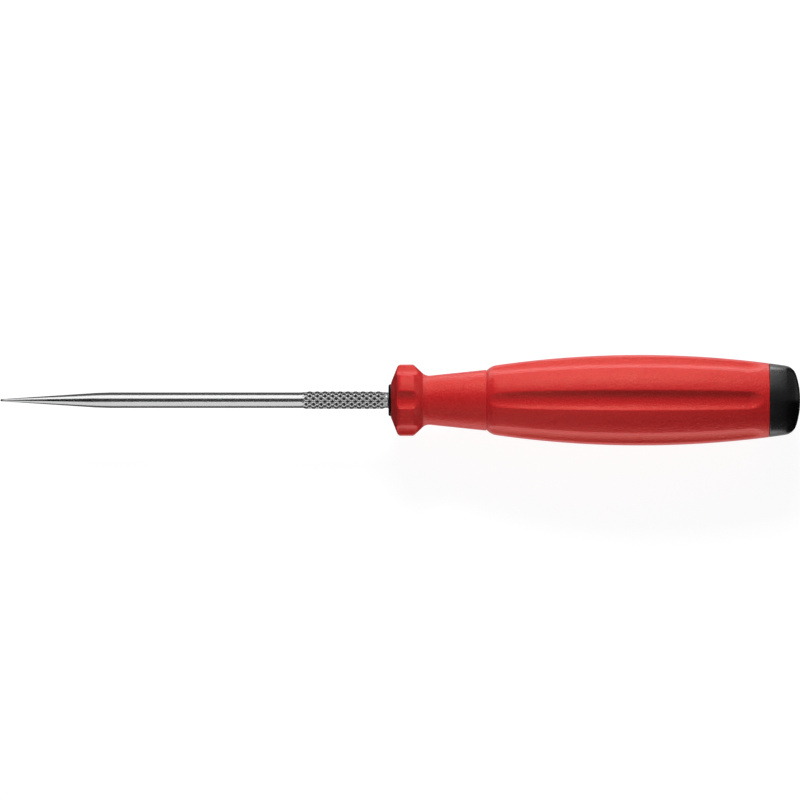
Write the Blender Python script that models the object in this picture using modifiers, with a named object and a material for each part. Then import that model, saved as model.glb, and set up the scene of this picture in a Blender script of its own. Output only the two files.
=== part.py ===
"""A straight pick: a pointed steel blade with a knurled root, fixed in a two-shot moulded handle.

Lengths are in metres. Heights along the tool are measured from the nose face, where the blade leaves the
handle: the handle lies on the positive side and the blade on the negative side. Each piece is turned about
its own Z, then grooved or knurled by moving the points of the turned mesh. In the world the tool lies along
X with its tip towards -X, its middle at the origin, and a flute of the grip facing up.
"""

from math import acos, asin, atan2, ceil, cos, floor, hypot, pi, radians, sin, sqrt, tan, tau

import bmesh
import bpy
from mathutils import Vector
from mathutils.geometry import intersect_sphere_sphere_2d

# Blade
BLADE_REACH = 0.075
BLADE_RADIUS = 0.0015
TIP_RADIUS = 0.00022
TIP_NOSE_LENGTH = 0.00015
TAPER_LENGTH = 0.0198
TANG_LENGTH = 0.042
TANG_CHAMFER = 0.0004
ANCHOR_WIDTH = 0.0044
ANCHOR_THICKNESS = 0.0021
ANCHOR_LENGTH = 0.007
ANCHOR_RAMP = 0.0015
ANCHOR_SETBACK = 0.002

# Rolled knurl on the blade
KNURL_STARTS = 9
KNURL_PITCH = 0.001473
KNURL_PITCHES = 11
KNURL_SETBACK = 0.00047
KNURL_RISE = 0.00021
KNURL_DIP = 0.0002
CROSSING_RISE = 0.00012
KNURL_FADE = 0.0009

# Handle core
HANDLE_LENGTH = 0.0796
NOSE_RADIUS = 0.0031
NOSE_PROUD = 0.0005
NOSE_ROUND = 0.0004
MOUTH_DEPTH = 0.0003
FLANGE_WIDTH = 0.0018
FLANGE_CHAMFER = 0.0009
BUTT_LENGTH = 0.006
BUTT_CORNER = 0.0026
BUTT_DOME = 0.016

# Grip skin
SKIN_WALL = 0.002
LIP_WIDTH = 0.0002
COLLAR_FRONT = 0.00188
COLLAR_RADIUS = 0.0069
COLLAR_LENGTH = 0.00297
COLLAR_FRONT_ROUND = 0.00085
COLLAR_REAR_ROUND = 0.0007
COLLAR_CHAMFER = 0.00235
NECK_START_RADIUS = 0.00467
NECK_END_RADIUS = 0.00587
NECK_LENGTH = 0.0118
NECK_ROUND = 0.002
SHOULDER_RAMP = 0.00075
SHOULDER_RADIUS = 0.0066
SHOULDER_ROUND = 0.0031
BARREL_RADIUS = 0.00875
CROWN_TO_BUTT = 0.031

# Scallops of the collar and flutes of the barrel, as left by a round tool
GROOVE_COUNT = 6
SCALLOP_HALF_ANGLE = radians(14.7)
SCALLOP_TOOL_RADIUS = 0.003
FLUTE_HALF_ANGLE = radians(12.75)
FLUTE_TOOL_RADIUS = 0.003
FLUTE_RUN_IN = 0.0095
FLUTE_RUN_IN_ARC = 0.22
FLUTE_STOP = 0.0043
FLUTE_LIFT_ARC = 0.0061

# Finishes: colour, roughness and metallic value
GROUND_STEEL = (0.62, 0.62, 0.63), 0.22, 1
BLACK_HARD_PLASTIC = (0.011, 0.0105, 0.0105), 0.42, 0
RED_SOFT_PLASTIC = (0.434, 0.018, 0.021), 0.6, 0

# Clearances between the pieces
TANG_GAP = 0.00005
SKIN_GAP = 0.00005
MOUTH_GAP = 0.0001

# Fineness of the meshes
STEPS_PER_GROOVE = 8
STEPS_PER_KNURL_START = 4
ROWS_PER_KNURL_PITCH = 4
ANCHOR_RAMP_SPANS = 3
BARREL_SPANS = 9
CORE_BODY_SPANS = 7
FLUTE_END_SPANS = 4
DOME_SPANS = 3
ARC_STEP = radians(13)
SHARP_ANGLE = radians(30)
MERGE_DISTANCE = 1e-6

# Heights and sizes that follow
KNURL_END = -KNURL_SETBACK
KNURL_START = KNURL_END - KNURL_PITCHES * KNURL_PITCH
ANCHOR_END = TANG_LENGTH - ANCHOR_SETBACK
ANCHOR_START = ANCHOR_END - ANCHOR_LENGTH
BORE_RADIUS = BLADE_RADIUS + TANG_GAP
MOUTH_RADIUS = BLADE_RADIUS + KNURL_RISE + MOUTH_GAP
SEAM = HANDLE_LENGTH - BUTT_LENGTH
COLLAR_REAR = COLLAR_FRONT + COLLAR_LENGTH
FLANGE_RADIUS = COLLAR_RADIUS - SKIN_WALL
FLANGE_START = COLLAR_FRONT + (COLLAR_LENGTH - FLANGE_WIDTH) / 2
FLANGE_END = FLANGE_START + FLANGE_WIDTH
NECK_START = COLLAR_REAR + COLLAR_CHAMFER
NECK_END = NECK_START + NECK_LENGTH
SHOULDER = NECK_END + SHOULDER_RAMP
CROWN = HANDLE_LENGTH - CROWN_TO_BUTT
CROWN_RISE = BARREL_RADIUS - SHOULDER_RADIUS
BARREL_ARC = ((CROWN - SHOULDER) ** 2 + CROWN_RISE**2) / (2 * CROWN_RISE)
BARREL_START = SHOULDER + SHOULDER_ROUND / 2
FLUTE_FULL = SHOULDER + FLUTE_RUN_IN
FLUTE_LIFT = SEAM - FLUTE_STOP
FLUTE_LAST = SEAM - FLUTE_STOP / 4
GROOVE_SPACING = tau / GROOVE_COUNT
EVEN_RIM = GROOVE_SPACING / 4
NARROWEST_RIM = EVEN_RIM / 2


def spaced(first, last, spans):
    """Evenly spaced values from first to last."""
    return [first + (last - first) * index / spans for index in range(spans + 1)]


def on_line(start, end, radius):
    """The point of the line from start to end that has this radius."""
    share = (radius - start[1]) / (end[1] - start[1])
    return start[0] + (end[0] - start[0]) * share, radius


def rounded(corners):
    """Points along a path of (height, radius, rounding) corners, each rounding an arc."""
    points = []
    for index, (height, radius, rounding) in enumerate(corners):
        corner = Vector((height, radius))
        if not rounding:
            points.append(corner)
            continue
        back = (Vector(corners[index - 1][:2]) - corner).normalized()
        ahead = (Vector(corners[index + 1][:2]) - corner).normalized()
        turn = pi - back.angle(ahead)
        middle = corner + (back + ahead).normalized() * rounding / cos(turn / 2)
        first = (corner + back * rounding * tan(turn / 2) - middle).normalized()
        last = (corner + ahead * rounding * tan(turn / 2) - middle).normalized()
        for share in spaced(0, 1, ceil(turn / ARC_STEP)):
            points.append(middle + rounding * first.slerp(last, share))
    return points


def offset(path, distance):
    """The path, which runs up the tool, moved away from the axis with its corners mitred."""
    moved = []
    for point in path:
        ways = [after - before for before, after in zip(path, path[1:]) if point in (before, after)]
        normals = [Vector((-way.y, way.x)).normalized() for way in ways]
        mean = sum(normals, Vector((0, 0))).normalized()
        moved.append(point + mean * distance / mean.dot(normals[0]))
    return moved


def barrel_radius(height):
    return BARREL_RADIUS - BARREL_ARC + sqrt(BARREL_ARC**2 - (height - CROWN) ** 2)


def barrel_corners(heights, wall):
    """Points of the barrel's arc, this far below the surface."""
    return [(height, barrel_radius(height) - wall, 0) for height in heights]


def tool_distance(radius, half_angle, tool_radius):
    """How far from the axis a round tool's middle runs to leave a groove of this half angle."""
    return radius * cos(half_angle) + sqrt(tool_radius**2 - (radius * sin(half_angle)) ** 2)


SCALLOP_DISTANCE = tool_distance(COLLAR_RADIUS, SCALLOP_HALF_ANGLE, SCALLOP_TOOL_RADIUS)
SCALLOP_FLOOR = SCALLOP_DISTANCE - SCALLOP_TOOL_RADIUS


def grip_outside():
    """The outline of the grip's lands, from the nose to the seam with the butt."""
    lip = (NOSE_PROUD, NOSE_RADIUS + SKIN_GAP + LIP_WIDTH)
    collar_front = (COLLAR_FRONT, COLLAR_RADIUS)
    collar_rear = (COLLAR_REAR, COLLAR_RADIUS)
    neck_start = (NECK_START, NECK_START_RADIUS)
    flute_heights = spaced(BARREL_START, FLUTE_LIFT, BARREL_SPANS)
    end_heights = spaced(FLUTE_LIFT, FLUTE_LAST, FLUTE_END_SPANS)[1:] + [SEAM - SKIN_GAP]
    return rounded(
        [
            (NOSE_PROUD, NOSE_RADIUS + SKIN_GAP, 0),
            (*lip, 0),
            (*on_line(lip, collar_front, SCALLOP_FLOOR), 0),
            (*collar_front, COLLAR_FRONT_ROUND),
            (*collar_rear, COLLAR_REAR_ROUND),
            (*on_line(collar_rear, neck_start, SCALLOP_FLOOR), 0),
            (*neck_start, NECK_ROUND),
            (NECK_END, NECK_END_RADIUS, 0),
            (SHOULDER, SHOULDER_RADIUS, SHOULDER_ROUND),
            *barrel_corners(flute_heights + end_heights, 0),
        ]
    )


def core_under_skin():
    """The core's outline inside the grip skin, from the nose to the seam with the butt."""
    heights = spaced(BARREL_START, FLUTE_LIFT, CORE_BODY_SPANS)
    heights += spaced(FLUTE_LIFT, FLUTE_LAST, FLUTE_END_SPANS)[1:] + [SEAM]
    return rounded(
        [
            (NOSE_PROUD, NOSE_RADIUS, 0),
            (FLANGE_START, NOSE_RADIUS, 0),
            (FLANGE_START, FLANGE_RADIUS, 0),
            (FLANGE_END, FLANGE_RADIUS, 0),
            (FLANGE_END + FLANGE_CHAMFER, NECK_START_RADIUS - SKIN_WALL, 0),
            (NECK_END, NECK_END_RADIUS - SKIN_WALL, 0),
            (SHOULDER, SHOULDER_RADIUS - SKIN_WALL, 0),
            *barrel_corners(heights, SKIN_WALL),
        ]
    )


def butt_outside():
    """The butt's outline, from the seam to the end of the dome on the axis."""
    barrel_middle = (CROWN, BARREL_RADIUS - BARREL_ARC)
    dome_middle = (HANDLE_LENGTH - BUTT_DOME, 0)
    meetings = intersect_sphere_sphere_2d(barrel_middle, BARREL_ARC, dome_middle, BUTT_DOME)
    corner = max(meetings, key=lambda point: point.x)
    dome_start = asin((corner.y - BUTT_CORNER * 3 / 4) / BUTT_DOME)
    dome = [
        (dome_middle[0] + BUTT_DOME * cos(angle), BUTT_DOME * sin(angle), 0)
        for angle in spaced(dome_start, 0, DOME_SPANS)
    ]
    return rounded(
        [
            *barrel_corners([SEAM, (SEAM + corner.x) / 2], 0),
            (*corner, BUTT_CORNER),
            *dome,
        ]
    )


GRIP_OUTSIDE = grip_outside()


def grip_radius(height):
    """The radius of the grip's lands at this height, or of the nose in front of them."""
    if height < NOSE_PROUD:
        return NOSE_RADIUS
    for low, high in zip(GRIP_OUTSIDE, GRIP_OUTSIDE[1:]):
        if low.x <= height < high.x:
            return low.y + (high.y - low.y) * (height - low.x) / (high.x - low.x)
    return barrel_radius(height)


def groove_tool(height):
    """The groove tool's distance from the axis and its radius at this height."""
    if height < (NECK_START + NECK_END) / 2:
        return SCALLOP_DISTANCE, SCALLOP_TOOL_RADIUS
    run_in = max(0, FLUTE_FULL - height) ** 2 / (2 * FLUTE_RUN_IN_ARC)
    lift = max(0, height - FLUTE_LIFT) ** 2 / (2 * FLUTE_LIFT_ARC)
    distance = tool_distance(barrel_radius(height), FLUTE_HALF_ANGLE, FLUTE_TOOL_RADIUS)
    return distance + run_in + lift, FLUTE_TOOL_RADIUS


def groove_rim(height):
    """The half angle of the groove here, or an even spread where there is none."""
    land = grip_radius(height)
    distance, radius = groove_tool(height)
    cosine = (distance**2 + land**2 - radius**2) / (2 * distance * land)
    return max(acos(cosine), NARROWEST_RIM) if cosine < 1 else EVEN_RIM


def groove_angles(angle, height):
    """The middle of the nearest groove, and the angle from it, spread so that points fall on the rims."""
    middle = GROOVE_SPACING * round(angle / GROOVE_SPACING)
    rim = groove_rim(height)
    away = abs(angle - middle)
    if away <= EVEN_RIM:
        spread = away * rim / EVEN_RIM
    else:
        spread = rim + (away - EVEN_RIM) * (2 * EVEN_RIM - rim) / EVEN_RIM
    return middle, spread if angle > middle else -spread


def groove_depth(from_middle, height):
    """How far the groove lies below the lands."""
    distance, radius = groove_tool(height)
    side = distance * sin(from_middle)
    if abs(side) >= radius:
        return 0
    return max(0, grip_radius(height) - distance * cos(from_middle) + sqrt(radius**2 - side**2))


def grooved(radius, angle, height, has_groove):
    """A point of a handle section, sunk into the groove if there is one."""
    middle, from_middle = groove_angles(angle, height)
    if has_groove:
        radius -= groove_depth(from_middle, height)
    return radius * cos(middle + from_middle), radius * sin(middle + from_middle)


def anchored(radius, angle, height):
    """A point of the tang or of its bore, drawn out to an oval at the anchor."""
    inside = min(height - ANCHOR_START, ANCHOR_END - height)
    strength = min(max(inside / ANCHOR_RAMP, 0), 1)
    wider = strength * (ANCHOR_WIDTH / 2 - BLADE_RADIUS)
    thinner = strength * (ANCHOR_THICKNESS / 2 - BLADE_RADIUS)
    return (radius + wider) * cos(angle), (radius + thinner) * sin(angle)


def ridge(phase):
    """1 on a ridge line, where the phase is whole, and 0 halfway to the next."""
    return abs(2 * (phase - floor(phase)) - 1)


def knurl_ridges(angle, height):
    """How high the two crossing sets of ridges stand here, from 0 to 1."""
    turn = KNURL_STARTS * angle / tau - 1 / STEPS_PER_KNURL_START
    along = (height - KNURL_START) / KNURL_PITCH
    return ridge(turn + along), ridge(turn - along)


def knurled(radius, angle, height):
    """A point of the blade, raised or sunk by the knurl, which fades at both ends."""
    first, second = knurl_ridges(angle, height)
    inside = min(height - KNURL_START, KNURL_END - height)
    strength = min(max(inside / KNURL_FADE, 0), 1)
    ridge_rise = KNURL_RISE + KNURL_DIP - CROSSING_RISE
    radius += strength * (ridge_rise * max(first, second) + CROSSING_RISE * first * second - KNURL_DIP)
    return radius * cos(angle), radius * sin(angle)


def turned(name, path, steps, closed=False):
    """The (height, radius) path turned about Z. Its outer side runs down the tool."""
    points = [(radius, 0, height) for height, radius in path]
    edges = [(index, index + 1) for index in range(len(points) - 1)]
    if closed:
        edges.append((len(points) - 1, 0))
    profile = bpy.data.meshes.new(name)
    profile.from_pydata(points, edges, [])
    obj = bpy.data.objects.new(name, profile)
    PICK.objects.link(obj)
    screw = obj.modifiers.new("turn", "SCREW")
    screw.axis = "Z"
    screw.angle = tau
    screw.steps = steps
    screw.render_steps = steps
    screw.use_merge_vertices = True
    screw.merge_threshold = MERGE_DISTANCE
    graph = bpy.context.evaluated_depsgraph_get()
    obj.data = bpy.data.meshes.new_from_object(obj.evaluated_get(graph))
    obj.modifiers.clear()
    return obj


def reshape(obj, rule):
    """Moves each point off the axis to where rule(radius, angle, height) puts it across the tool."""
    for vertex in obj.data.vertices:
        radius = hypot(vertex.co.x, vertex.co.y)
        if radius > MERGE_DISTANCE:
            vertex.co.xy = rule(radius, atan2(vertex.co.y, vertex.co.x), vertex.co.z)


def split_twisted_faces(obj):
    """Splits faces along their shorter diagonal, so that facing pieces have the same facets."""
    body = bmesh.new()
    body.from_mesh(obj.data)
    bmesh.ops.triangulate(body, faces=body.faces, quad_method="SHORT_EDGE")
    body.to_mesh(obj.data)
    body.free()


def split_along_ridges(obj):
    """Splits each knurl face from its peak or pocket to the opposite corner."""
    body = bmesh.new()
    body.from_mesh(obj.data)
    for face in list(body.faces):
        corners = list(face.verts)
        if all(KNURL_START - MERGE_DISTANCE < vert.co.z < KNURL_END + MERGE_DISTANCE for vert in corners):
            rise = [sum(knurl_ridges(atan2(vert.co.y, vert.co.x), vert.co.z)) for vert in corners]
            extreme = max(range(len(rise)), key=lambda index: abs(rise[index] - 1))
            bmesh.utils.face_split(face, corners[extreme], corners[extreme - 2])
    body.to_mesh(obj.data)
    body.free()


def finished(obj, name, finish):
    """Shades the piece, gives it its material and hangs it on the tool's axis."""
    colour, roughness, metallic = finish
    material = bpy.data.materials.new(name)
    material.use_nodes = True
    shader = material.node_tree.nodes["Principled BSDF"]
    shader.inputs["Base Color"].default_value = (*colour, 1)
    shader.inputs["Roughness"].default_value = roughness
    shader.inputs["Metallic"].default_value = metallic
    material.diffuse_color = (*colour, 1)
    obj.data.materials.append(material)
    obj.data.shade_smooth()
    obj.data.set_sharp_from_angle(angle=SHARP_ANGLE)
    obj.parent = AXIS


def anchor_heights():
    """Heights of the points that the tang and its bore need at the anchor."""
    return [
        *spaced(ANCHOR_START, ANCHOR_START + ANCHOR_RAMP, ANCHOR_RAMP_SPANS),
        *spaced(ANCHOR_END - ANCHOR_RAMP, ANCHOR_END, ANCHOR_RAMP_SPANS),
    ]


def pick_blade():
    rows = spaced(KNURL_START, KNURL_END, KNURL_PITCHES * ROWS_PER_KNURL_PITCH)
    path = [
        (-BLADE_REACH, 0),
        (-BLADE_REACH, TIP_RADIUS / 2),
        (-BLADE_REACH + TIP_NOSE_LENGTH, TIP_RADIUS),
        (-BLADE_REACH + TAPER_LENGTH, BLADE_RADIUS),
        *[(height, BLADE_RADIUS) for height in rows + [0] + anchor_heights()],
        (TANG_LENGTH - TANG_CHAMFER, BLADE_RADIUS),
        (TANG_LENGTH, BLADE_RADIUS - TANG_CHAMFER),
        (TANG_LENGTH, 0),
    ]
    blade = turned("pick_blade", path[::-1], KNURL_STARTS * STEPS_PER_KNURL_START)
    reshape(blade, lambda *point: anchored(*point) if point[2] > 0 else knurled(*point))
    split_along_ridges(blade)
    finished(blade, "ground_steel", GROUND_STEEL)


def handle_core():
    bottom = TANG_LENGTH + TANG_GAP
    bore = [(bottom, 0), (bottom, BORE_RADIUS)]
    bore += [(height, BORE_RADIUS) for height in [*reversed(anchor_heights()), MOUTH_DEPTH]]
    nose = rounded([(0, MOUTH_RADIUS, 0), (0, NOSE_RADIUS, NOSE_ROUND), (NOSE_PROUD, NOSE_RADIUS, 0)])
    path = [*bore, *nose[:-1], *core_under_skin(), *butt_outside()]
    core = turned("handle_core", path[::-1], GROOVE_COUNT * STEPS_PER_GROOVE)

    def section(radius, angle, height):
        if radius < BORE_RADIUS + TANG_GAP:
            return anchored(radius, angle, height)
        return grooved(radius, angle, height, NECK_END < height < SEAM)

    reshape(core, section)
    split_twisted_faces(core)
    finished(core, "black_hard_plastic", BLACK_HARD_PLASTIC)


def grip_skin():
    inside = offset(core_under_skin(), SKIN_GAP)
    inside[-1].x = SEAM - SKIN_GAP
    path = GRIP_OUTSIDE[::-1] + inside[1:]
    skin = turned("grip_skin", path, GROOVE_COUNT * STEPS_PER_GROOVE, closed=True)

    def section(radius, angle, height):
        is_outside = radius > grip_radius(height) - SKIN_WALL / 2
        return grooved(radius, angle, height, is_outside or height > NECK_END)

    reshape(skin, section)
    split_twisted_faces(skin)
    finished(skin, "red_soft_plastic", RED_SOFT_PLASTIC)


for startup_object in list(bpy.data.objects):
    bpy.data.objects.remove(startup_object)
PICK = bpy.data.collections.new("straight_pick")
bpy.context.scene.collection.children.link(PICK)
AXIS = bpy.data.objects.new("tool_axis", None)
AXIS.location.x = (BLADE_REACH - HANDLE_LENGTH) / 2
AXIS.rotation_euler.y = pi / 2
PICK.objects.link(AXIS)
pick_blade()
handle_core()
grip_skin()
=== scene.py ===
"""Looks of the straight pick: fine meshes, materials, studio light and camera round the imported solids.

Lengths are in metres. Heights along the tool are measured from the nose face, where the blade leaves the
handle: the handle lies on the positive side and the blade on the negative side. Angles round the tool start
at the middle of the lowest flute. The camera looks straight down, as in the photograph.
"""

from math import acos, asin, atan2, ceil, cos, hypot, pi, radians, sin, tan, tau

import bmesh
import bpy
import numpy as np
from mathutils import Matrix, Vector
from mathutils.geometry import intersect_sphere_sphere_2d


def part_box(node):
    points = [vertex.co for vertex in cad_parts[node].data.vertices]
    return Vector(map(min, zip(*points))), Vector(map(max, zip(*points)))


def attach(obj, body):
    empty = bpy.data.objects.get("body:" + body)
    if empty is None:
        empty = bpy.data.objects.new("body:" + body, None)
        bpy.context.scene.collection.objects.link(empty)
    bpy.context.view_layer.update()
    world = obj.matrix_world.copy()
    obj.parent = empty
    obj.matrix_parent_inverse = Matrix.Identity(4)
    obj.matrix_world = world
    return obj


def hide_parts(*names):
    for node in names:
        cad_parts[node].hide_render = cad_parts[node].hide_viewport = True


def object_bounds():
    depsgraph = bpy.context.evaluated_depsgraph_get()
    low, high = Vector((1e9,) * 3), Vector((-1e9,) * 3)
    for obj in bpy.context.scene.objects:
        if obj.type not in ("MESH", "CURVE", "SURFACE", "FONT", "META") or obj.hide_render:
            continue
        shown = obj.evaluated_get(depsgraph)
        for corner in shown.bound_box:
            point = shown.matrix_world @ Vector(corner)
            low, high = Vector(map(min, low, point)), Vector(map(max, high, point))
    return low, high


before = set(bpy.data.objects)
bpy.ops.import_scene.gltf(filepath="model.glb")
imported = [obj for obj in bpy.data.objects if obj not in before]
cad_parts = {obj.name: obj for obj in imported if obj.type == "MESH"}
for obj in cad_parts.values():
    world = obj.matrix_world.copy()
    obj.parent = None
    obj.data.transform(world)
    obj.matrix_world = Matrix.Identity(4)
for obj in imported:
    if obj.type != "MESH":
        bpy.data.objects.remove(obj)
CAD_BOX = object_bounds()

# Sizes that the frame gives
NOSE_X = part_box("handle_core")[0].x
BLADE_REACH = NOSE_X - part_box("pick_blade")[0].x
TANG_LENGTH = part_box("pick_blade")[1].x - NOSE_X
HANDLE_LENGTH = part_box("handle_core")[1].x - NOSE_X
FLOOR_Z = CAD_BOX[0].z

# Blade
BLADE_RADIUS = 0.0015
TIP_RADIUS = 0.00022
TIP_NOSE_LENGTH = 0.0003
TAPER_LENGTH = 0.0198
TAPER_BLEND = 0.04
TANG_CHAMFER = 0.0004
ANCHOR_WIDTH = 0.0044
ANCHOR_THICKNESS = 0.0021
ANCHOR_LENGTH = 0.007
ANCHOR_RAMP = 0.0015
ANCHOR_SETBACK = 0.002

# Rolled knurl on the blade
KNURL_STARTS = 9
KNURL_PITCH = 0.001473
KNURL_PITCHES = 11
KNURL_SETBACK = 0.00047
KNURL_RISE = 0.00021
KNURL_DIP = 0.0002
KNURL_FADE = 0.0009
KNURL_PHASE = 0.25
CROSSING_RISE = 0.00012
CREST_HALF_WIDTH = 0.13

# Handle core
NOSE_RADIUS = 0.0031
NOSE_PROUD = 0.0005
NOSE_ROUND = 0.0004
MOUTH_DEPTH = 0.0003
FLANGE_WIDTH = 0.0018
FLANGE_CHAMFER = 0.0009
BUTT_LENGTH = 0.006
BUTT_CORNER = 0.0026
BUTT_DOME = 0.016
SEAM_ROUND = 0.00012

# Grip skin
SKIN_WALL = 0.002
LIP_WIDTH = 0.0002
COLLAR_FRONT = 0.00188
COLLAR_RADIUS = 0.0069
COLLAR_LENGTH = 0.00297
COLLAR_FRONT_ROUND = 0.00085
COLLAR_REAR_ROUND = 0.0007
COLLAR_CHAMFER = 0.00235
NECK_START_RADIUS = 0.00467
NECK_END_RADIUS = 0.00587
NECK_LENGTH = 0.0118
NECK_ROUND = 0.002
CREASE_WIDTH = 0.0002
CREASE_DEPTH = 0.00012
CREASE_ROUND = 0.00015
SHOULDER_RAMP = 0.00075
SHOULDER_RADIUS = 0.0066
SHOULDER_ROUND = 0.0031
BARREL_RADIUS = 0.00875
CROWN_TO_BUTT = 0.031

# Scallops of the collar and flutes of the barrel, as left by a round tool
GROOVE_COUNT = 6
SCALLOP_HALF_ANGLE = radians(14.7)
SCALLOP_TOOL_RADIUS = 0.003
FLUTE_HALF_ANGLE = radians(12.9)
FLUTE_TOOL_RADIUS = 0.003
FLUTE_RUN_IN = 0.0095
FLUTE_RUN_IN_ARC = 0.22
FLUTE_STOP = 0.0043
FLUTE_LIFT_ARC = 0.0061
RIM_BLEND = 0.0002

# Clearances between the pieces
TANG_GAP = 0.00005
SKIN_GAP = 0.00005
MOUTH_GAP = 0.0001

# Fineness of the meshes. Columns per groove are a multiple of 4, so that one runs along each rim.
KNURL_STEPS = 20
COLUMNS_PER_GROOVE = 48
RIM_CROWDING = 1.5
NARROWEST_RIM = radians(7.5)
ARC_STEP = radians(5)
TIP_ARC_STEP = radians(15)
LONG_STEP = 0.0006
SHORT_STEP = 0.00018
HIDDEN_STEP = 0.003
ANCHOR_STEP = ANCHOR_RAMP / 3
SHARP_ANGLE = radians(50)
MERGE_DISTANCE = 1e-7

# A radius beyond every land, for angles that the groove tool doesn't touch
NO_GROOVE = 1.0

# Heights and sizes that follow
KNURL_END = -KNURL_SETBACK
KNURL_START = KNURL_END - KNURL_PITCHES * KNURL_PITCH
ANCHOR_END = TANG_LENGTH - ANCHOR_SETBACK
ANCHOR_START = ANCHOR_END - ANCHOR_LENGTH
BORE_RADIUS = BLADE_RADIUS + TANG_GAP
MOUTH_RADIUS = BLADE_RADIUS + KNURL_RISE + MOUTH_GAP
SEAM = HANDLE_LENGTH - BUTT_LENGTH
DOME_INSET = BUTT_CORNER * 3 / 4
COLLAR_REAR = COLLAR_FRONT + COLLAR_LENGTH
FLANGE_RADIUS = COLLAR_RADIUS - SKIN_WALL
FLANGE_START = COLLAR_FRONT + (COLLAR_LENGTH - FLANGE_WIDTH) / 2
FLANGE_END = FLANGE_START + FLANGE_WIDTH
NECK_START = COLLAR_REAR + COLLAR_CHAMFER
NECK_END = NECK_START + NECK_LENGTH
SHOULDER = NECK_END + SHOULDER_RAMP
CROWN = HANDLE_LENGTH - CROWN_TO_BUTT
CROWN_RISE = BARREL_RADIUS - SHOULDER_RADIUS
BARREL_ARC = ((CROWN - SHOULDER) ** 2 + CROWN_RISE**2) / (2 * CROWN_RISE)
BARREL_START = SHOULDER + SHOULDER_ROUND / 2
FLUTE_FULL = SHOULDER + FLUTE_RUN_IN
FLUTE_LIFT = SEAM - FLUTE_STOP
GROOVE_SPACING = tau / GROOVE_COUNT
HANDLE_COLUMNS = GROOVE_COUNT * COLUMNS_PER_GROOVE

# Red soft plastic
RED_DARK = (0.39, 0.009, 0.012)
RED_LIGHT = (0.48, 0.018, 0.02)
RED_ROUGHNESS = (0.28, 0.4)
RED_SHINE = (1, 0.9, 0.62, 1)
RED_GRAIN = 0.00034
RED_RELIEF = 0.00009

# Black hard plastic
BLACK_DARK = (0.0038, 0.0035, 0.0035)
BLACK_LIGHT = (0.0052, 0.0048, 0.0048)
BLACK_ROUGHNESS = (0.24, 0.3)
BLACK_SHINE = 0.8
BLACK_GRAIN = 0.00015
BLACK_CLOUD = 0.003
BLACK_RELIEF = 0.000008

# Ground steel, with the depths, from 0 to 1, over which the knurl's pockets darken with painted shade and
# dull
STEEL_BRIGHT = (0.94, 0.94, 0.95)
STEEL_SHADED = (0.15, 0.15, 0.15)
STEEL_ROUGHNESS = (0.16, 0.24)
STEEL_LINE = 0.00006
STEEL_LINE_STRETCH = (1, 0.02, 0.02)
STEEL_RELIEF = 0.0000003
POCKET_SHADED = (0.01, 0.2)
POCKET_DULLED = (0, 0.6)
POCKET_ROUGHNESS = 0.15

# The values of a noise over which its colours and roughness spread
SPREAD_START = 0.3
SPREAD_END = 0.7

# Camera, as far away as the photograph's flat view needs
CAMERA_LENS_MM = 600
SENSOR_MM = 36
FIELD = 0.15464
CAMERA_X = -0.00006
CAMERA_Y = 0.00004
CAMERA_REACH = 100

# Floor: its tone and lift for the light that falls on things, its shade and glow as seen
FLOOR_SIZE = 8
FLOOR_GAP = 0.00002
FLOOR_TONE = 0.8
FLOOR_LIFT = 0.2
FLOOR_SHADE = 0.2
FLOOR_GLOW = 0.9

# Lamps. The key side is +Y and the fill side is -Y. Angles are from straight above.
LAMP_AIM_SHARE = 0.55
LAMP_SIZE = (0.15, 0.08)
LAMP_DISTANCE = 0.25
LAMP_LEAN = radians(-9)
KEY_ANGLE = radians(58)
KEY_LEVEL = 1.57
TOP_ANGLE = radians(-30)
TOP_LEVEL = 0.13
FILL_ANGLE = radians(-90)
FILL_LEVEL = 1.22
FRONT_SIZE = (0.1, 0.1)
FRONT_DISTANCE = 0.3
FRONT_ANGLE = radians(-45)
FRONT_LEVEL = 0.18

# Cards lie flat, or stand upright along the tool or across it
FLAT = (0, 0, 0)
ALONG = (pi / 2, 0, 0)
ACROSS = (0, pi / 2, 0)
UNLIT = 0
CARD_GAP = 0.0001

# Cards that the blade mirrors
ABOVE_SIZE = (1.6, 0.44)
ABOVE_HEIGHT = 0.45
ABOVE_LEVEL = 0.04
TAPER_CARD_SIZE = (0.5, 0.52)
TAPER_CARD_HEIGHT = 0.44
TAPER_CARD_END = -0.11
TIP_CARD_SIZE = 0.006
BLADE_CARD_OVERHANG = 0.04
BLADE_CARD_DEPTH = 0.006
BLADE_CARD_WIDTH = 0.06
BLADE_CARD_GREY = 0.08
KEY_CARD_TOP = 0.011
SIDE_TOP = 0.1
SIDE_LEVEL = 0.66
ROOT_LEVEL = 0.35

# Tent that the handle mirrors, as sheets between these angles from straight above towards +Y
TENT_RADIUS = 0.05
TENT_OVERHANG = 0.006
TENT_SHADE = radians(30)
TENT_BAND = radians(45)
TENT_DARK = 0.15
TENT_DIM = 0.22
TENT_HIGH = 0.75
TENT_LOW = 1.3
REAR_KEY_SIDE = 0.12
GROUND_INNER_EDGE = 0.02
GROUND_OUTER_EDGE = 0.03
GROUND_DARK = 0.5
GROUND_KEY_SIDE = 3.5
GROUND_FILL_SIDE = 1.7
GROUND_OUTER = 1.0

# Strip beside the barrel
STRIP_OUT = 0.0105
STRIP_FOOT = 0.0015
STRIP_TOP = 0.0042
STRIP_LEVEL = 1.4

# Cards behind the collar
COLLAR_CARD_SETBACK = 0.0006
COLLAR_CARD_REACH = 0.01
COLLAR_CARD_TOP = 0.0056
COLLAR_CARD_DEPTH = 0.006
NECK_KEY_SIDE = 0.55
NECK_FILL_SIDE = 0.3

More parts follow.
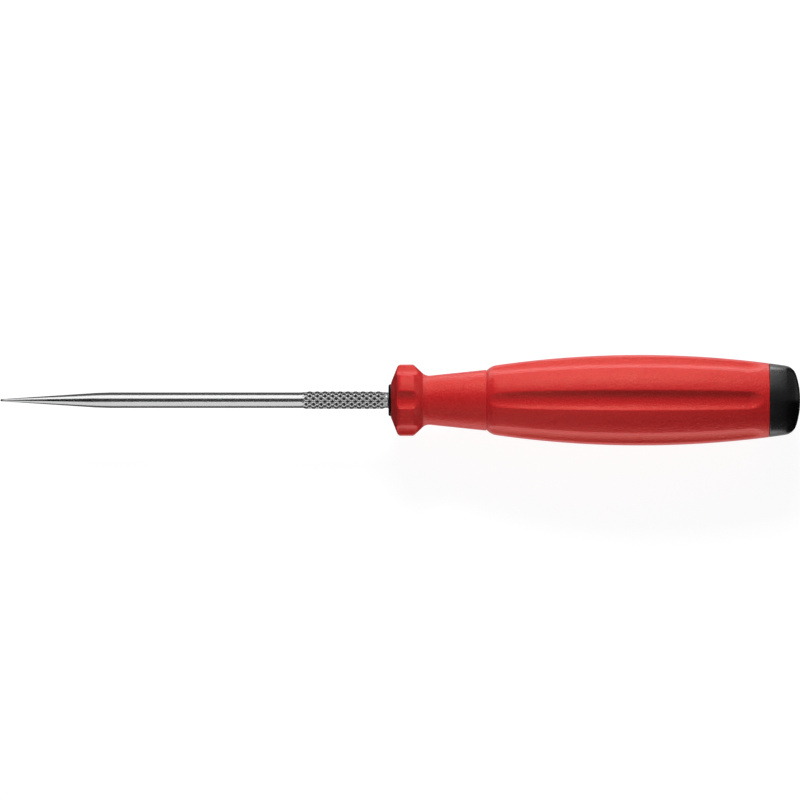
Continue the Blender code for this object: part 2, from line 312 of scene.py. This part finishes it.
# Places in the studio that follow
LAMP_AIM = NOSE_X + HANDLE_LENGTH * LAMP_AIM_SHARE
HANDLE_END = NOSE_X + HANDLE_LENGTH
TENT_FRONT = NOSE_X - CARD_GAP
TENT_REAR = HANDLE_END + TENT_OVERHANG
TENT_WIDTH = 2 * TENT_RADIUS
TENT_GROUND = FLOOR_Z + FLOOR_GAP
TENT_FOOT = acos(TENT_GROUND / TENT_RADIUS)


def spaced(first, last, longest):
    """Evenly spaced values from first to last, no further apart than longest."""
    return np.linspace(first, last, ceil(abs(last - first) / longest) + 1)


def rounded(corners):
    """Points along a path of (height, radius, rounding) corners, each rounding an arc."""
    points = []
    for index, (height, radius, rounding) in enumerate(corners):
        corner = Vector((height, radius))
        if not rounding:
            points.append(corner)
            continue
        back = (Vector(corners[index - 1][:2]) - corner).normalized()
        ahead = (Vector(corners[index + 1][:2]) - corner).normalized()
        turn = pi - back.angle(ahead)
        middle = corner + (back + ahead).normalized() * rounding / cos(turn / 2)
        first = (corner + back * rounding * tan(turn / 2) - middle).normalized()
        last = (corner + ahead * rounding * tan(turn / 2) - middle).normalized()
        for share in spaced(0, 1, ARC_STEP / turn):
            points.append(middle + rounding * first.slerp(last, share))
    return points


def filled(path, longest):
    """The path with more points on its straight stretches, so that none is longer than this."""
    points = [path[0]]
    for start, end in zip(path, path[1:]):
        for share in spaced(0, 1, longest / max((end - start).length, longest))[1:]:
            points.append(start.lerp(end, share))
    return points


def offset(path, distance):
    """The path, which runs up the tool, moved away from the axis with its corners mitred."""
    moved = []
    for point in path:
        ways = [after - before for before, after in zip(path, path[1:]) if point in (before, after)]
        normals = [Vector((-way.y, way.x)).normalized() for way in ways]
        mean = sum(normals, Vector((0, 0))).normalized()
        moved.append(point + mean * distance / mean.dot(normals[0]))
    return moved


def barrel_radius(height):
    """The radius of the barrel's lands, which is one long arc."""
    return BARREL_RADIUS - BARREL_ARC + np.sqrt(BARREL_ARC**2 - (height - CROWN) ** 2)


def barrel_corners(heights, wall=0):
    """Points of the barrel's arc, this far below the surface."""
    return [(height, barrel_radius(height) - wall, 0) for height in heights]


def tool_distance(radius, half_angle, tool_radius):
    """How far from the axis a round tool's middle runs to leave a groove of this half angle."""
    return radius * cos(half_angle) + np.sqrt(tool_radius**2 - (radius * sin(half_angle)) ** 2)


def groove_tool(height):
    """How far from the axis the groove tool's middle runs at each height, and the tool's radius."""
    scallop = tool_distance(COLLAR_RADIUS, SCALLOP_HALF_ANGLE, SCALLOP_TOOL_RADIUS)
    run_in = np.maximum(0, FLUTE_FULL - height) ** 2 / (2 * FLUTE_RUN_IN_ARC)
    lift = np.maximum(0, height - FLUTE_LIFT) ** 2 / (2 * FLUTE_LIFT_ARC)
    flute = tool_distance(barrel_radius(height), FLUTE_HALF_ANGLE, FLUTE_TOOL_RADIUS) + run_in + lift
    on_collar = height < NECK_START
    return np.where(on_collar, scallop, flute), np.where(on_collar, SCALLOP_TOOL_RADIUS, FLUTE_TOOL_RADIUS)


def from_groove(angle):
    """The angle from the middle of the nearest groove."""
    return (angle + GROOVE_SPACING / 2) % GROOVE_SPACING - GROOVE_SPACING / 2


def grooved(angle, height, land):
    """The grip's radius: the lands, sunk into the grooves with rounded rims."""
    distance, tool_radius = groove_tool(height)
    side = distance * np.sin(from_groove(angle))
    hollow = np.sqrt(np.maximum(tool_radius**2 - side**2, 0))
    reach = distance * np.cos(from_groove(angle)) - hollow
    reach = np.where(np.abs(side) < tool_radius, reach, NO_GROOVE)
    near = np.maximum(RIM_BLEND - np.abs(land - reach), 0)
    return np.minimum(land, reach) - near**2 / (4 * RIM_BLEND)


def groove_rim(height, land):
    """The half angle of the groove between the lands, or the narrowest that the columns keep."""
    distance, tool_radius = groove_tool(height)
    cosine = (distance**2 + land**2 - tool_radius**2) / (2 * distance * np.maximum(land, MERGE_DISTANCE))
    return np.maximum(np.arccos(np.clip(cosine, 0, 1)), NARROWEST_RIM)


def crowded(angle, height, land):
    """The angles of the columns, drawn together along the rims of the grooves."""
    away = from_groove(angle)
    share = 4 * np.abs(away) / GROOVE_SPACING
    rim = groove_rim(height, land)
    inside = rim * (1 - np.maximum(1 - share, 0) ** RIM_CROWDING)
    outside = (GROOVE_SPACING / 2 - rim) * np.maximum(share - 1, 0) ** RIM_CROWDING
    return angle - away + np.sign(away) * (inside + outside)


def anchored(angle, height, radius):
    """The radius of the tang or of its bore, drawn out to an oval at the anchor."""
    inside = np.minimum(height - ANCHOR_START, ANCHOR_END - height)
    strength = np.clip(inside / ANCHOR_RAMP, 0, 1)
    wider = strength * (ANCHOR_WIDTH / 2 - BLADE_RADIUS)
    thinner = strength * (ANCHOR_THICKNESS / 2 - BLADE_RADIUS)
    return np.hypot((radius + wider) * np.cos(angle), (radius + thinner) * np.sin(angle))


def ridge(phase):
    """1 on a ridge's flat crest, where the phase is whole, and 0 halfway to the next, with straight sides."""
    from_crest = np.abs(phase - np.round(phase)) - CREST_HALF_WIDTH
    return 1 - np.clip(from_crest / (0.5 - CREST_HALF_WIDTH), 0, 1)


def knurl_net(angle, height):
    """1 along the two crossing sets of ridges, 0 in the pockets, and how much of it is a crossing."""
    turn = KNURL_STARTS * angle / tau - KNURL_PHASE
    along = (height - KNURL_START) / KNURL_PITCH
    first, second = ridge(turn + along), ridge(turn - along)
    return np.maximum(first, second), first * second


def knurl_strength(height):
    """1 over the knurl, fading to 0 at both of its ends."""
    inside = np.minimum(height - KNURL_START, KNURL_END - height)
    return np.clip(inside / KNURL_FADE, 0, 1)


def knurled(angle, height, radius):
    """The blade's radius, raised or sunk by the knurl."""
    net, crossing = knurl_net(angle, height)
    relief = (KNURL_RISE + KNURL_DIP - CROSSING_RISE) * net + CROSSING_RISE * crossing - KNURL_DIP
    return radius + knurl_strength(height) * relief


def lathe(name, path, columns, shape, closed=False):
    """A mesh object turned about the tool's axis.

    shape(angle, height, radius) gives the angle and the distance from the axis of each of its points.
    """
    height, radius = np.array([tuple(point) for point in path]).T[:, :, None]
    angle, reach = shape(np.arange(columns)[None, :] * tau / columns, height, radius)
    reach = np.where(radius > 0, reach, 0)
    across = reach * np.sin(angle)
    upward = -reach * np.cos(angle)
    along = np.broadcast_to(NOSE_X + height, reach.shape)
    points = np.stack([along, across, upward], axis=-1).reshape(-1, 3)
    rows = len(path) if closed else len(path) - 1
    row = np.arange(rows)[:, None] * columns
    next_row = (np.arange(rows)[:, None] + 1) % len(path) * columns
    column = np.arange(columns)[None, :]
    next_column = (column + 1) % columns
    corners = [row + column, next_row + column, next_row + next_column, row + next_column]
    faces = np.stack(corners, axis=-1).reshape(-1, 4)
    mesh = bpy.data.meshes.new(name)
    mesh.from_pydata(points.tolist(), [], faces.tolist())
    body = bmesh.new()
    body.from_mesh(mesh)
    bmesh.ops.remove_doubles(body, verts=body.verts, dist=MERGE_DISTANCE)
    bmesh.ops.recalc_face_normals(body, faces=body.faces)
    body.to_mesh(mesh)
    body.free()
    mesh.shade_smooth()
    mesh.set_sharp_from_angle(angle=SHARP_ANGLE)
    piece = bpy.data.objects.new(name, mesh)
    bpy.context.scene.collection.objects.link(piece)
    return piece


def stands_for(piece, node, material):
    """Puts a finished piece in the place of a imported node."""
    piece.data.materials.append(material)
    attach(piece, "root")
    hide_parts(node)


def grip_outside():
    """The outline of the grip's lands, from the nose to the seam with the butt."""
    lip = (NOSE_PROUD, NOSE_RADIUS + SKIN_GAP + LIP_WIDTH)
    crease = (NECK_END, NECK_END_RADIUS - CREASE_DEPTH)
    collar = rounded(
        [
            (NOSE_PROUD, NOSE_RADIUS + SKIN_GAP, 0),
            (*lip, 0),
            (COLLAR_FRONT, COLLAR_RADIUS, COLLAR_FRONT_ROUND),
            (COLLAR_REAR, COLLAR_RADIUS, COLLAR_REAR_ROUND),
            (NECK_START, NECK_START_RADIUS, NECK_ROUND),
            (NECK_END - CREASE_WIDTH, NECK_END_RADIUS, CREASE_ROUND),
            (*crease, 0),
        ]
    )
    shoulder = rounded(
        [
            (*crease, 0),
            (SHOULDER, SHOULDER_RADIUS, SHOULDER_ROUND),
            *barrel_corners([BARREL_START]),
        ]
    )
    last = SEAM - SKIN_GAP
    flute_heights = spaced(BARREL_START, FLUTE_LIFT, LONG_STEP)[1:-1]
    spoon_heights = spaced(FLUTE_LIFT, last - SEAM_ROUND, SHORT_STEP)
    end = rounded(
        [
            *barrel_corners([*flute_heights, *spoon_heights]),
            (last, barrel_radius(last), SEAM_ROUND),
            (last, barrel_radius(last) - SKIN_WALL + SKIN_GAP, 0),
        ]
    )
    return filled(collar, SHORT_STEP) + filled(shoulder, SHORT_STEP)[1:] + end


def core_under_skin():
    """The core's outline inside the grip skin, from the nose to the seam with the butt."""
    return rounded(
        [
            (NOSE_PROUD, NOSE_RADIUS, 0),
            (FLANGE_START, NOSE_RADIUS, 0),
            (FLANGE_START, FLANGE_RADIUS, 0),
            (FLANGE_END, FLANGE_RADIUS, 0),
            (FLANGE_END + FLANGE_CHAMFER, NECK_START_RADIUS - SKIN_WALL, 0),
            (NECK_END, NECK_END_RADIUS - SKIN_WALL, 0),
            (SHOULDER, SHOULDER_RADIUS - SKIN_WALL, 0),
            *barrel_corners(spaced(BARREL_START, SEAM, HIDDEN_STEP), SKIN_WALL),
        ]
    )


def butt_outside():
    """The butt's outline, from the seam to the end of the dome on the axis."""
    barrel_middle = (CROWN, BARREL_RADIUS - BARREL_ARC)
    dome_middle = (HANDLE_LENGTH - BUTT_DOME, 0)
    meetings = intersect_sphere_sphere_2d(barrel_middle, BARREL_ARC, dome_middle, BUTT_DOME)
    corner = max(meetings, key=lambda point: point.x)
    dome_start = asin((corner.y - DOME_INSET) / BUTT_DOME)
    dome = [
        (dome_middle[0] + BUTT_DOME * cos(angle), BUTT_DOME * sin(angle), 0)
        for angle in spaced(dome_start, 0, ARC_STEP / 2)
    ]
    return rounded(
        [
            (SEAM, barrel_radius(SEAM) - SKIN_WALL, 0),
            (SEAM, barrel_radius(SEAM), SEAM_ROUND),
            *barrel_corners(spaced(SEAM + 2 * SEAM_ROUND, (SEAM + corner.x) / 2, LONG_STEP)),
            (*corner, BUTT_CORNER),
            *dome,
        ]
    )


def mark_pockets(mesh):
    """Marks how deep each point of the blade lies in a pocket of the knurl, from 0 on a ridge."""
    places = np.empty(len(mesh.vertices) * 3)
    mesh.vertices.foreach_get("co", places)
    along, across, upward = places.reshape(-1, 3).T
    height = along - NOSE_X
    net = knurl_net(np.arctan2(across, -upward), height)[0]
    pocket = knurl_strength(height) * (1 - net)
    mesh.attributes.new("pocket", "FLOAT", "POINT").data.foreach_set("value", pocket)


def steel_blade():
    """The blade: a long point, a plain shank, the knurl, and a tang with an oval anchor in the handle."""
    tip = [
        (-BLADE_REACH + TIP_NOSE_LENGTH * (1 - cos(angle)), TIP_RADIUS * sin(angle), 0)
        for angle in spaced(0, pi / 2, TIP_ARC_STEP)
    ]
    point = rounded(
        [
            *tip,
            (-BLADE_REACH + TAPER_LENGTH, BLADE_RADIUS, TAPER_BLEND),
            (KNURL_START, BLADE_RADIUS, 0),
        ]
    )
    rows = spaced(KNURL_START, KNURL_END, KNURL_PITCH / KNURL_STEPS)
    ramps = [
        *spaced(ANCHOR_START, ANCHOR_START + ANCHOR_RAMP, ANCHOR_STEP),
        *spaced(ANCHOR_END - ANCHOR_RAMP, ANCHOR_END, ANCHOR_STEP),
    ]
    root = [Vector((height, BLADE_RADIUS)) for height in [*rows[1:], 0, *ramps, TANG_LENGTH - TANG_CHAMFER]]
    end = [Vector((TANG_LENGTH, BLADE_RADIUS - TANG_CHAMFER)), Vector((TANG_LENGTH, 0))]
    path = filled(point, LONG_STEP) + root + end

    def section(angle, height, radius):
        is_tang = height > 0
        return angle, np.where(is_tang, anchored(angle, height, radius), knurled(angle, height, radius))

    blade = lathe("steel_blade", path, KNURL_STARTS * KNURL_STEPS, section)
    mark_pockets(blade.data)
    stands_for(blade, "pick_blade", ground_steel())


def black_core():
    """The core: a bore that fits the tang, the nose, the fluted body under the skin, and the butt."""
    bottom = TANG_LENGTH + TANG_GAP
    bore_heights = [*spaced(ANCHOR_END, ANCHOR_START, ANCHOR_STEP), MOUTH_DEPTH]
    bore = [Vector((bottom, 0)), Vector((bottom, BORE_RADIUS))]
    bore += [Vector((height, BORE_RADIUS)) for height in bore_heights]
    nose = rounded([(0, MOUTH_RADIUS, 0), (0, NOSE_RADIUS, NOSE_ROUND), (NOSE_PROUD, NOSE_RADIUS, 0)])
    path = bore + nose[:-1] + core_under_skin()[:-1] + butt_outside()

    def section(angle, height, radius):
        is_bore = radius < BORE_RADIUS + TANG_GAP
        inside_grip = (height > NECK_END) & (height < SEAM)
        wall = np.where(inside_grip, SKIN_WALL, 0)
        angle = crowded(angle, height, radius + wall)
        fluted = np.where(inside_grip, grooved(angle, height, radius + wall) - wall, radius)
        return angle, np.where(is_bore, anchored(angle, height, radius), fluted)

    core = lathe("black_core", path, HANDLE_COLUMNS, section)
    stands_for(core, "handle_core", black_hard_plastic())


def red_grip():
    """The grip skin: scalloped collar, round neck and fluted barrel, hollow round the core."""
    outside = grip_outside()
    inside = offset(core_under_skin(), SKIN_GAP)[1:-1]
    path = outside + inside[::-1]
    outer_rows = len(outside)

    def section(angle, height, radius):
        wall = np.where(np.arange(len(path))[:, None] < outer_rows, 0, SKIN_WALL)
        has_groove = (wall == 0) | (height > NECK_END)
        angle = crowded(angle, height, radius + wall)
        return angle, np.where(has_groove, grooved(angle, height, radius + wall) - wall, radius)

    grip = lathe("red_grip", path, HANDLE_COLUMNS, section, closed=True)
    stands_for(grip, "grip_skin", red_soft_plastic())


def new_material(name):
    """A material, its node tree and its shader."""
    material = bpy.data.materials.new(name)
    material.use_nodes = True
    return material, material.node_tree, material.node_tree.nodes["Principled BSDF"]


def add_node(tree, kind, inputs=(), **settings):
    """A shader node with these settings and input values or links."""
    node = tree.nodes.new(kind)
    for name, value in settings.items():
        setattr(node, name, value)
    for name, value in dict(inputs).items():
        if isinstance(value, bpy.types.NodeSocket):
            tree.links.new(value, node.inputs[name])
        else:
            node.inputs[name].default_value = value
    return node


def noise(tree, size, detail=2, stretch=(1, 1, 1)):
    """Noise over the object's own coordinates, with lumps of about this size."""
    place = add_node(tree, "ShaderNodeTexCoord").outputs["Object"]
    scale = tuple(share / size for share in stretch)
    mapped = add_node(tree, "ShaderNodeMapping", {"Vector": place, "Scale": scale})
    inputs = {"Vector": mapped.outputs["Vector"], "Scale": 1, "Detail": detail}
    return add_node(tree, "ShaderNodeTexNoise", inputs).outputs["Fac"]


def between(tree, factor, low, high, start=SPREAD_START, end=SPREAD_END):
    """A number that goes from low to high while the factor goes from start to end."""
    inputs = {"Value": factor, "From Min": start, "From Max": end, "To Min": low, "To Max": high}
    return add_node(tree, "ShaderNodeMapRange", inputs).outputs["Result"]


def tint(tree, factor, dark, light):
    """A colour that goes from dark to light with the factor."""
    ramp = add_node(tree, "ShaderNodeValToRGB", {"Fac": factor})
    ramp.color_ramp.elements[0].position = SPREAD_START
    ramp.color_ramp.elements[0].color = (*dark, 1)
    ramp.color_ramp.elements[1].position = SPREAD_END
    ramp.color_ramp.elements[1].color = (*light, 1)
    return ramp.outputs["Color"]


def bump(tree, height, depth):
    """A normal with this relief."""
    inputs = {"Height": height, "Distance": depth, "Strength": 1}
    return add_node(tree, "ShaderNodeBump", inputs).outputs["Normal"]


def red_soft_plastic():
    """Satin red with a fine moulded grain."""
    material, tree, shader = new_material("red_soft_plastic")
    grain = noise(tree, RED_GRAIN, detail=3)
    tree.links.new(tint(tree, grain, RED_DARK, RED_LIGHT), shader.inputs["Base Color"])
    tree.links.new(between(tree, grain, *RED_ROUGHNESS), shader.inputs["Roughness"])
    tree.links.new(bump(tree, grain, RED_RELIEF), shader.inputs["Normal"])
    shader.inputs["Specular Tint"].default_value = RED_SHINE
    return material


def black_hard_plastic():
    """Black with a satin shine, a very fine grain and faint clouds."""
    material, tree, shader = new_material("black_hard_plastic")
    grain = noise(tree, BLACK_GRAIN, detail=3)
    cloud = noise(tree, BLACK_CLOUD)
    tree.links.new(tint(tree, cloud, BLACK_DARK, BLACK_LIGHT), shader.inputs["Base Color"])
    tree.links.new(between(tree, grain, *BLACK_ROUGHNESS), shader.inputs["Roughness"])
    tree.links.new(bump(tree, grain, BLACK_RELIEF), shader.inputs["Normal"])
    shader.inputs["Specular IOR Level"].default_value = BLACK_SHINE
    return material


def ground_steel():
    """Bright steel with fine grinding lines round it, darkened by painted shade and duller in the pockets of
    the knurl.
    """
    material, tree, shader = new_material("ground_steel")
    lines = noise(tree, STEEL_LINE, stretch=STEEL_LINE_STRETCH)
    pocket = add_node(tree, "ShaderNodeAttribute", attribute_name="pocket").outputs["Fac"]
    # Painted shade: the base colour darkens with the depth of the knurl's pockets, where shade falls
    hollow = between(tree, pocket, SPREAD_START, SPREAD_END, *POCKET_SHADED)
    tree.links.new(tint(tree, hollow, STEEL_BRIGHT, STEEL_SHADED), shader.inputs["Base Color"])
    polish = between(tree, lines, *STEEL_ROUGHNESS)
    dulled = between(tree, pocket, 0, POCKET_ROUGHNESS, *POCKET_DULLED)
    roughness = add_node(tree, "ShaderNodeMath", {0: polish, 1: dulled}, operation="ADD").outputs["Value"]
    tree.links.new(roughness, shader.inputs["Roughness"])
    tree.links.new(bump(tree, lines, STEEL_RELIEF), shader.inputs["Normal"])
    shader.inputs["Metallic"].default_value = 1
    return material


def seen_directly(tree):
    """1 for what the camera, a mirror or a clear piece shows, 0 for the light that falls on things."""
    path = add_node(tree, "ShaderNodeLightPath")
    shown = path.outputs["Is Camera Ray"]
    for name in ("Is Glossy Ray", "Is Transmission Ray"):
        inputs = {0: shown, 1: path.outputs[name]}
        shown = add_node(tree, "ShaderNodeMath", inputs, operation="MAXIMUM").outputs["Value"]
    return shown


def white_world():
    """A world that shows as white and gives no light."""
    world = bpy.data.worlds.new("white_world")
    world.use_nodes = True
    tree = world.node_tree
    background = tree.nodes["Background"]
    background.inputs["Color"].default_value = (1, 1, 1, 1)
    tree.links.new(seen_directly(tree), background.inputs["Strength"])
    bpy.context.scene.world = world


def floor_white():
    """A pale floor that shows as white, and still darkens where the object keeps the light off it."""
    material, tree, shader = new_material("floor_white")
    tree.nodes.remove(shader)
    shown = seen_directly(tree)
    tone = between(tree, shown, FLOOR_TONE, FLOOR_SHADE, 0, 1)
    matt = add_node(tree, "ShaderNodeBsdfDiffuse", {"Color": tone}).outputs["BSDF"]
    strength = between(tree, shown, FLOOR_LIFT, FLOOR_GLOW, 0, 1)
    lift = add_node(tree, "ShaderNodeEmission", {"Strength": strength}).outputs["Emission"]
    both = add_node(tree, "ShaderNodeAddShader", {0: matt, 1: lift}).outputs["Shader"]
    tree.links.new(both, tree.nodes["Material Output"].inputs["Surface"])
    return material


def glow(name, level):
    """A material that shines evenly, or is black at level 0."""
    material, tree, shader = new_material(name)
    tree.nodes.remove(shader)
    shine = add_node(tree, "ShaderNodeEmission", {"Strength": level}).outputs["Emission"]
    tree.links.new(shine, tree.nodes["Material Output"].inputs["Surface"])
    return material


def stage_mesh(name, points, faces, material):
    """An object of the studio, which isn't part of the tool."""
    mesh = bpy.data.meshes.new(name)
    mesh.from_pydata(points, [], faces)
    mesh.materials.append(material)
    board = bpy.data.objects.new(name, mesh)
    bpy.context.scene.collection.objects.link(board)
    return board


def card(name, size, location, rotation, material):
    """A flat stage card of this (length, width)."""
    x, y = size[0] / 2, size[1] / 2
    board = stage_mesh(name, [(-x, -y, 0), (x, -y, 0), (x, y, 0), (-x, y, 0)], [(0, 1, 2, 3)], material)
    board.location = location
    board.rotation_euler = rotation
    return board


def only_reflected(board):
    """Hides a card from everything but reflections."""
    board.visible_camera = False
    board.visible_diffuse = False
    board.visible_shadow = False


def mirrored_card(name, size, location, rotation, level):
    """A card of this brightness that shows only in reflections."""
    only_reflected(card(name, size, location, rotation, glow(name, level)))


def tent_sheet(name, outline, level):
    """A glowing sheet along the handle through these (across, upward) points, shown only in reflections."""
    points = [(along, *point) for along in (TENT_FRONT, TENT_REAR) for point in outline]
    count = len(outline)
    faces = [(i, i + 1, count + i + 1, count + i) for i in range(count - 1)]
    only_reflected(stage_mesh(name, points, faces, glow(name, level)))


def tent_arc(first, last):
    """Points round the tent from one angle to another, measured from straight above towards +Y."""
    return [(TENT_RADIUS * sin(angle), TENT_RADIUS * cos(angle)) for angle in spaced(first, last, ARC_STEP)]


def softbox(name, size, distance, angles, level):
    """A lamp aimed at the handle's middle, which lights matt surfaces and doesn't show in glossy ones.

    Its angles from straight above are the one towards +X and the one towards +Y. Its level is about what a
    white surface facing it would show.
    """
    lamp = bpy.data.lights.new(name, "AREA")
    lamp.shape = "RECTANGLE"
    lamp.size, lamp.size_y = size
    lamp.energy = level * pi**2 * distance**2
    along, across = angles
    away = Vector((sin(along) * cos(across), sin(across), cos(along) * cos(across)))
    obj = bpy.data.objects.new(name, lamp)
    obj.location = Vector((LAMP_AIM, 0, 0)) + away * distance
    obj.rotation_euler = away.to_track_quat("Z", "Y").to_euler()
    obj.visible_camera = False
    obj.visible_glossy = False
    bpy.context.scene.collection.objects.link(obj)


def camera():
    """A camera straight above the middle of the tool."""
    data = bpy.data.cameras.new("camera")
    data.lens = CAMERA_LENS_MM
    data.sensor_width = SENSOR_MM
    data.clip_end = CAMERA_REACH
    obj = bpy.data.objects.new("camera", data)
    obj.location = (CAMERA_X, CAMERA_Y, FIELD * CAMERA_LENS_MM / SENSOR_MM)
    bpy.context.scene.collection.objects.link(obj)
    bpy.context.scene.camera = obj


def lamps():
    """A key and a fill from the two sides, a weak top light, and a weak light on the front of the collar."""
    softbox("key", LAMP_SIZE, LAMP_DISTANCE, (LAMP_LEAN, KEY_ANGLE), KEY_LEVEL)
    softbox("top", LAMP_SIZE, LAMP_DISTANCE, (LAMP_LEAN, TOP_ANGLE), TOP_LEVEL)
    softbox("fill", LAMP_SIZE, LAMP_DISTANCE, (LAMP_LEAN, FILL_ANGLE), FILL_LEVEL)
    softbox("front", FRONT_SIZE, FRONT_DISTANCE, (FRONT_ANGLE, FRONT_ANGLE), FRONT_LEVEL)


def cards_above():
    """Dark cards overhead, for the dark line along the blade, and a black one ahead of the tip."""
    mirrored_card("card_above", ABOVE_SIZE, (0, 0, ABOVE_HEIGHT), FLAT, ABOVE_LEVEL)
    taper_place = (TAPER_CARD_END - TAPER_CARD_SIZE[0] / 2, 0, TAPER_CARD_HEIGHT)
    mirrored_card("card_taper", TAPER_CARD_SIZE, taper_place, FLAT, UNLIT)
    tip_place = (NOSE_X - BLADE_REACH - CARD_GAP, 0, 0)
    mirrored_card("card_tip", (TIP_CARD_SIZE, TIP_CARD_SIZE), tip_place, ACROSS, UNLIT)


def cards_beside_blade():
    """Grey cards low on both sides, for the dark lines along the edges, and a light one on the fill side."""
    length = BLADE_REACH + BLADE_CARD_OVERHANG
    middle = NOSE_X - length / 2
    fill_place = (middle, -BLADE_CARD_WIDTH / 2, -BLADE_CARD_DEPTH)
    mirrored_card("card_fill_side", (length, BLADE_CARD_WIDTH), fill_place, FLAT, BLADE_CARD_GREY)
    height = SIDE_TOP + BLADE_CARD_DEPTH
    side_place = (middle, -BLADE_CARD_WIDTH, height / 2 - BLADE_CARD_DEPTH)
    mirrored_card("card_side", (length, height), side_place, ALONG, SIDE_LEVEL)
    rise = KEY_CARD_TOP + BLADE_CARD_DEPTH
    key_size = (length, hypot(BLADE_CARD_WIDTH, rise))
    key_place = (middle, BLADE_CARD_WIDTH / 2, rise / 2 - BLADE_CARD_DEPTH)
    tilt = (atan2(rise, BLADE_CARD_WIDTH), 0, 0)
    mirrored_card("card_key_side", key_size, key_place, tilt, BLADE_CARD_GREY)


def cards_round_knurl():
    """A black card under the knurl, and a dim one across its end, just ahead of the handle's tent."""
    root_place = (NOSE_X + KNURL_START / 2, 0, -BLADE_RADIUS - KNURL_RISE - CARD_GAP)
    mirrored_card("card_root", (-KNURL_START, BLADE_CARD_WIDTH), root_place, FLAT, UNLIT)
    end_place = (TENT_FRONT - CARD_GAP, 0, 0)
    mirrored_card("card_end", (TENT_WIDTH, TENT_WIDTH), end_place, ACROSS, ROOT_LEVEL)


def handle_tent():
    """Sheets round the handle: bright on the key side, dim above and on the fill side."""
    tent_sheet("tent_dark", tent_arc(-TENT_FOOT, -TENT_BAND), TENT_DARK)
    tent_sheet("tent_dim", tent_arc(-TENT_BAND, TENT_SHADE), TENT_DIM)
    tent_sheet("tent_high", tent_arc(TENT_SHADE, TENT_BAND), TENT_HIGH)
    tent_sheet("tent_low", tent_arc(TENT_BAND, TENT_FOOT), TENT_LOW)


def handle_ground():
    """Sheets on the floor: a dark one under the handle, a bright one on each side and dimmer ones outside."""
    inner, outer = GROUND_INNER_EDGE, GROUND_OUTER_EDGE
    tent_sheet("ground_dark", [(-inner, TENT_GROUND), (inner, TENT_GROUND)], GROUND_DARK)
    for name, side, level in (("key", 1, GROUND_KEY_SIDE), ("fill", -1, GROUND_FILL_SIDE)):
        edges = [(side * edge, TENT_GROUND) for edge in (inner, outer, TENT_RADIUS)]
        tent_sheet(f"ground_{name}_side", edges[:2], level)
        tent_sheet(f"ground_{name}_side_outer", edges[1:], GROUND_OUTER)


def flute_strip():
    """A bright strip low beside the barrel, which its flute on the fill side mirrors."""
    size = (SEAM - SHOULDER, STRIP_TOP - STRIP_FOOT)
    place = (NOSE_X + (SHOULDER + SEAM) / 2, -STRIP_OUT, (STRIP_FOOT + STRIP_TOP) / 2)
    mirrored_card("flute_strip", size, place, ALONG, STRIP_LEVEL)


def tent_ends():
    """Dark cards behind the butt, on the floor and upright, and a black one across the tent's front."""
    ground_place = (HANDLE_END + TENT_OVERHANG / 2, 0, TENT_GROUND + CARD_GAP)
    mirrored_card("ground_rear", (TENT_OVERHANG, TENT_WIDTH), ground_place, FLAT, UNLIT)
    mirrored_card("tent_front", (TENT_WIDTH, TENT_WIDTH), (TENT_FRONT, 0, 0), ACROSS, UNLIT)
    for name, side, level in (("key", 1, REAR_KEY_SIDE), ("fill", -1, UNLIT)):
        place = (TENT_REAR, side * TENT_RADIUS / 2, 0)
        mirrored_card(f"tent_rear_{name}_side", (TENT_WIDTH, TENT_RADIUS), place, ACROSS, level)


def cards_behind_collar():
    """A black card that the collar's rear chamfer mirrors, backed by two light ones for the neck."""
    along = NOSE_X + NECK_START - COLLAR_CARD_SETBACK
    height = COLLAR_CARD_TOP + COLLAR_CARD_DEPTH
    upward = COLLAR_CARD_TOP - height / 2
    mirrored_card("card_collar", (height, 2 * COLLAR_CARD_REACH), (along, 0, upward), ACROSS, UNLIT)
    for name, side, level in (("key", 1, NECK_KEY_SIDE), ("fill", -1, NECK_FILL_SIDE)):
        place = (along + CARD_GAP, side * COLLAR_CARD_REACH / 2, upward)
        mirrored_card(f"card_neck_{name}_side", (height, COLLAR_CARD_REACH), place, ACROSS, level)


def studio():
    """The white surroundings, the lamps, and the cards that only reflections show."""
    white_world()
    card("floor", (FLOOR_SIZE, FLOOR_SIZE), (0, 0, FLOOR_Z - FLOOR_GAP), FLAT, floor_white())
    lamps()
    cards_above()
    cards_beside_blade()
    cards_round_knurl()
    handle_tent()
    handle_ground()
    flute_strip()
    tent_ends()
    cards_behind_collar()


bpy.context.scene.view_settings.view_transform = "Standard"
camera()
studio()
steel_blade()
black_core()
red_grip()
